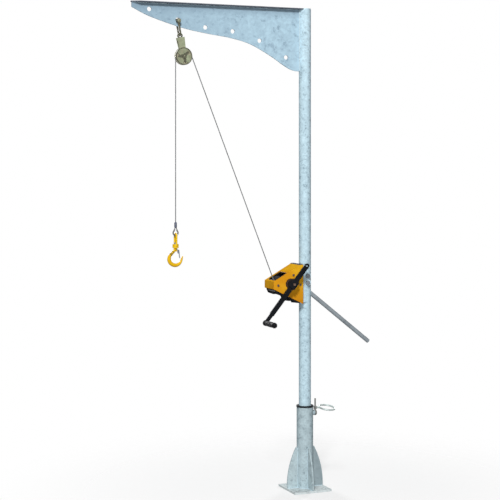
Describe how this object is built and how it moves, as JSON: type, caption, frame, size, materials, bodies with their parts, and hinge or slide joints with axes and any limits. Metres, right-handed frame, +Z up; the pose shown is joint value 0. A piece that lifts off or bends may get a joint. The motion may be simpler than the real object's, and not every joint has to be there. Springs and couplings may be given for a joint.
{
  "type": "davit crane",
  "caption": "Floor-mounted swivelling davit crane: socketed column with a webbed jib, geared hand winch, rope over a sheave block and a swivelling safety hook.",
  "frame": {"origin": "centre of the base plate's underside, on the column's axis", "axes": "+Z up along the column; the jib points to -X; the crank is on the -Y side"},
  "size_m": [1.2752, 0.3099, 2.4],
  "materials": {
    "galvanised": "hot-dip galvanised, spangled",
    "zinc_bright": "bright zinc plate",
    "zinc_olive": "olive zinc plate",
    "dark_steel": "oiled machined steel",
    "wire_rope": "laid galvanised wire",
    "ferrule_metal": "pressed, dull",
    "thimble_steel": "zinc plate",
    "yellow_paint": "satin enamel",
    "hook_paint": "satin enamel",
    "black_paint": "satin enamel",
    "bearing_bronze": "plain",
    "brake_lining": "matte",
    "bush_polymer": "satin",
    "grip_polymer": "satin"
  },
  "bodies": {
    "base": {"base_plate": "galvanised", "base_fins": "galvanised", "socket_tube": "galvanised", "lower_bush": "bush_polymer", "thrust_disc": "bush_polymer", "upper_bush": "bush_polymer", "lock_boss": "galvanised"},
    "lock": {"lock_screw": "zinc_bright", "lock_bar": "zinc_bright", "lock_ring": "zinc_bright"},
    "column": {"column_tube": "galvanised", "column_cap": "galvanised", "jib_web": "galvanised", "jib_flange": "galvanised", "slewing_handle": "galvanised", "winch_bracket": "galvanised", "bracket_bolts": "zinc_bright", "winch_back": "black_paint", "winch_side_near": "black_paint", "winch_side_far": "black_paint", "winch_ties": "zinc_bright", "mounting_screws": "zinc_bright", "winch_cover": "yellow_paint", "cover_screws": "zinc_bright", "shaft_bushes": "bearing_bronze", "crank_housing": "black_paint", "pawl_pin": "dark_steel", "pawl_spring": "zinc_bright", "shackle_bow": "zinc_olive", "shackle_pin": "zinc_olive", "block_eye": "zinc_olive", "block_head": "zinc_olive", "block_cheeks": "zinc_olive", "sheave_axle": "dark_steel", "rope_lead": "wire_rope", "rope_fall": "wire_rope"},
    "sheave": {"sheave": "dark_steel", "sheave_bush": "bearing_bronze"},
    "drum": {"drum": "dark_steel", "drum_shaft": "dark_steel", "drum_gear": "dark_steel", "ratchet_wheel": "dark_steel", "drum_rope": "wire_rope", "rope_anchor": "dark_steel"},
    "pawl": {"pawl": "dark_steel"},
    "crank": {"crank_shaft": "dark_steel", "brake_disc": "brake_lining", "crank_hub": "black_paint", "arm_screw": "zinc_bright"},
    "arm": {"crank_arm": "black_paint", "grip_spindle": "dark_steel"},
    "grip": {"crank_grip": "grip_polymer"},
    "hook_block": {"ferrule": "ferrule_metal", "rope_loop": "wire_rope", "thimble": "thimble_steel", "hook_bail": "hook_paint"},
    "hook": {"hook": "hook_paint", "latch_pin": "dark_steel"},
    "latch": {"hook_latch": "thimble_steel"}
  },
  "joints": [
    {"name": "slew", "type": "hinge", "parent": "base", "child": "column", "pos_m": [0, 0, 0.4], "axis": [0, 0, 1], "continuous": true},
    {"name": "lock_turn", "type": "hinge", "parent": "base", "child": "lock", "pos_m": [0.0568, 0, 0.378], "axis": [1, 0, 0], "range_deg": [0, 360]},
    {"name": "drum_spin", "type": "hinge", "parent": "column", "child": "drum", "pos_m": [-0.138, 0, 1.026], "axis": [0, -1, 0], "range_deg": [-2820, 1530]},
    {"name": "crank_spin", "type": "hinge", "parent": "column", "child": "crank", "pos_m": [-0.10422, 0, 1.033], "axis": [0, -1, 0], "range_deg": [-5520, 10160]},
    {"name": "sheave_spin", "type": "hinge", "parent": "column", "child": "sheave", "pos_m": [-0.646, 0, 2.144], "axis": [0, -1, 0], "range_deg": [-860, 1580]},
    {"name": "hook_lift", "type": "slide", "parent": "column", "child": "hook_block", "axis": [0, 0, 1], "range_m": [-1.11, 0.61], "deforming": ["rope_fall"]},
    {"name": "arm_slide", "type": "slide", "parent": "crank", "child": "arm", "axis": [-0.6334, 0, -0.7738], "range_m": [-0.13, 0.09]},
    {"name": "grip_spin", "type": "hinge", "parent": "arm", "child": "grip", "pos_m": [-0.2537, 0, 0.85037], "axis": [0, -1, 0], "continuous": true},
    {"name": "pawl_swing", "type": "hinge", "parent": "column", "child": "pawl", "pos_m": [-0.08543, 0.036, 1.00149], "axis": [0, 1, 0], "range_deg": [0, 20], "stiffness_Nm_per_rad": 0.02, "springref_deg": -17.19},
    {"name": "hook_swivel", "type": "hinge", "parent": "hook_block", "child": "hook", "pos_m": [-0.686, 0, 1.2], "axis": [0, 0, 1], "continuous": true},
    {"name": "latch_swing", "type": "hinge", "parent": "hook", "child": "latch", "pos_m": [-0.674, 0, 1.2081], "axis": [0, 1, 0], "range_deg": [-10, 40], "stiffness_Nm_per_rad": 0.01}
  ],
  "couplings": [
    {"joint": "crank_spin", "follows": "drum_spin", "ratio": -3.6},
    {"joint": "sheave_spin", "follows": "drum_spin", "ratio": -0.5575},
    {"joint": "hook_lift", "follows": "drum_spin", "m_per_rad": 0.0223}
  ]
}
